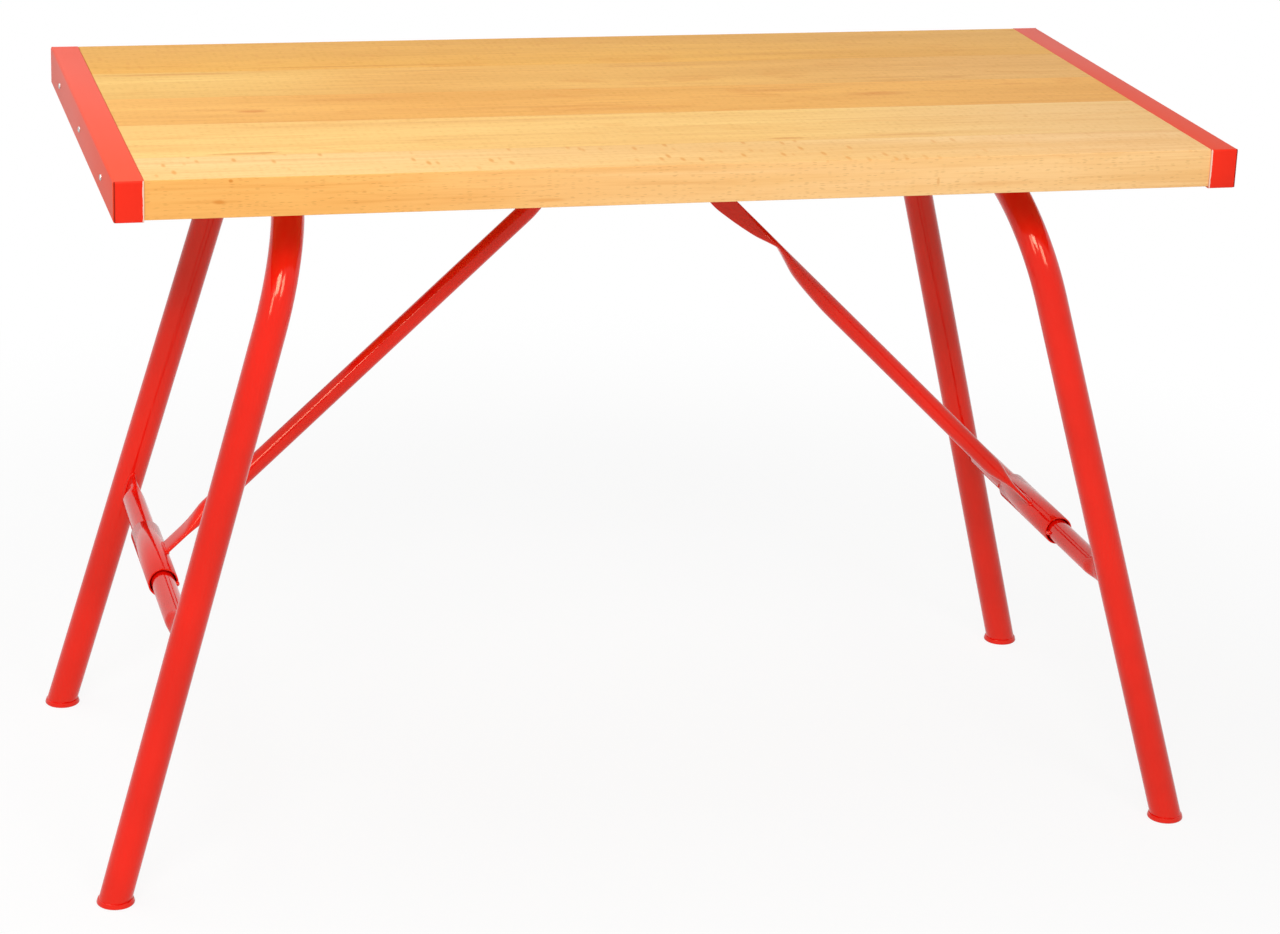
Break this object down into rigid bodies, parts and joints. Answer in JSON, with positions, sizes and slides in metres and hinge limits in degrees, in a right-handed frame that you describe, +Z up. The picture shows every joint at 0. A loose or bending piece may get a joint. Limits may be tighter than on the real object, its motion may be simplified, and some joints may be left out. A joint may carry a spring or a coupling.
{
  "type": "folding workbench",
  "caption": "Folding workbench: thick laminated beech top in folded steel end channels on hinged tubular leg frames with swinging diagonal braces.",
  "frame": {"origin": "on the floor under the centre of the worktop", "axes": "+Z up, +X along the worktop to the right, -Y towards the front"},
  "size_m": [1.247, 0.6044, 0.8],
  "materials": {
    "board_1": "clear oiled beech, planed smooth",
    "board_2": "clear oiled beech, planed smooth",
    "board_3": "clear oiled beech, planed smooth",
    "board_4": "clear oiled beech, planed smooth",
    "board_5": "clear oiled beech, planed smooth",
    "red_paint": "glossy red paint",
    "zinc_steel": "bright zinc plate",
    "screw_steel": "bright steel",
    "pin_steel": "turned steel"
  },
  "bodies": {
    "top": {"board_1": "board_1", "board_2": "board_2", "board_3": "board_3", "board_4": "board_4", "board_5": "board_5", "catch_bracket_left": "zinc_steel", "catch_bracket_right": "zinc_steel", "catch_screw_left_1": "screw_steel", "catch_screw_left_2": "screw_steel", "catch_screw_right_1": "screw_steel", "catch_screw_right_2": "screw_steel", "channel_screw_left_1": "screw_steel", "channel_screw_left_2": "screw_steel", "channel_screw_left_3": "screw_steel", "channel_screw_right_1": "screw_steel", "channel_screw_right_2": "screw_steel", "channel_screw_right_3": "screw_steel", "end_channel_left": "red_paint", "end_channel_right": "red_paint", "saddle_left_front": "zinc_steel", "saddle_left_rear": "zinc_steel", "saddle_right_front": "zinc_steel", "saddle_right_rear": "zinc_steel", "saddle_screw_left_front_1": "screw_steel", "saddle_screw_left_front_2": "screw_steel", "saddle_screw_left_rear_1": "screw_steel", "saddle_screw_left_rear_2": "screw_steel", "saddle_screw_right_front_1": "screw_steel", "saddle_screw_right_front_2": "screw_steel", "saddle_screw_right_rear_1": "screw_steel", "saddle_screw_right_rear_2": "screw_steel"},
    "leg_left": {"crossbar_left": "red_paint", "foot_cap_left_front": "red_paint", "foot_cap_left_rear": "red_paint", "leg_tube_left": "red_paint", "sleeve_stop_left_front": "red_paint", "sleeve_stop_left_rear": "red_paint"},
    "leg_right": {"crossbar_right": "red_paint", "foot_cap_right_front": "red_paint", "foot_cap_right_rear": "red_paint", "leg_tube_right": "red_paint", "sleeve_stop_right_front": "red_paint", "sleeve_stop_right_rear": "red_paint"},
    "brace_left": {"brace_left": "red_paint", "sleeve_left": "red_paint"},
    "brace_right": {"brace_right": "red_paint", "sleeve_right": "red_paint"},
    "pin_left": {"pull_pin_left": "pin_steel"},
    "pin_right": {"pull_pin_right": "pin_steel"}
  },
  "joints": [
    {"name": "leg_fold_left", "type": "hinge", "parent": "top", "child": "leg_left", "pos_m": [-0.3962, 0, 0.7411], "axis": [0, -1, 0], "range_deg": [0, 104.7]},
    {"name": "brace_swing_left", "type": "hinge", "parent": "leg_left", "child": "brace_left", "pos_m": [-0.52457, 0, 0.28481], "axis": [0, -1, 0], "range_deg": [-321, 0]},
    {"name": "pin_pull_left", "type": "slide", "parent": "top", "child": "pin_left", "axis": [0, 1, 0], "range_m": [0, 0.0075]},
    {"name": "leg_fold_right", "type": "hinge", "parent": "top", "child": "leg_right", "pos_m": [0.3962, 0, 0.7411], "axis": [0, 1, 0], "range_deg": [0, 96.2]},
    {"name": "brace_swing_right", "type": "hinge", "parent": "leg_right", "child": "brace_right", "pos_m": [0.52457, 0, 0.28481], "axis": [0, 1, 0], "range_deg": [-320, 0]},
    {"name": "pin_pull_right", "type": "slide", "parent": "top", "child": "pin_right", "axis": [0, 1, 0], "range_m": [0, 0.0075]}
  ],
  "couplings": [
    {"joint": "brace_swing_left", "follows": "leg_fold_left", "ratio": -3.0632},
    {"joint": "brace_swing_right", "follows": "leg_fold_right", "ratio": -3.3181}
  ]
}
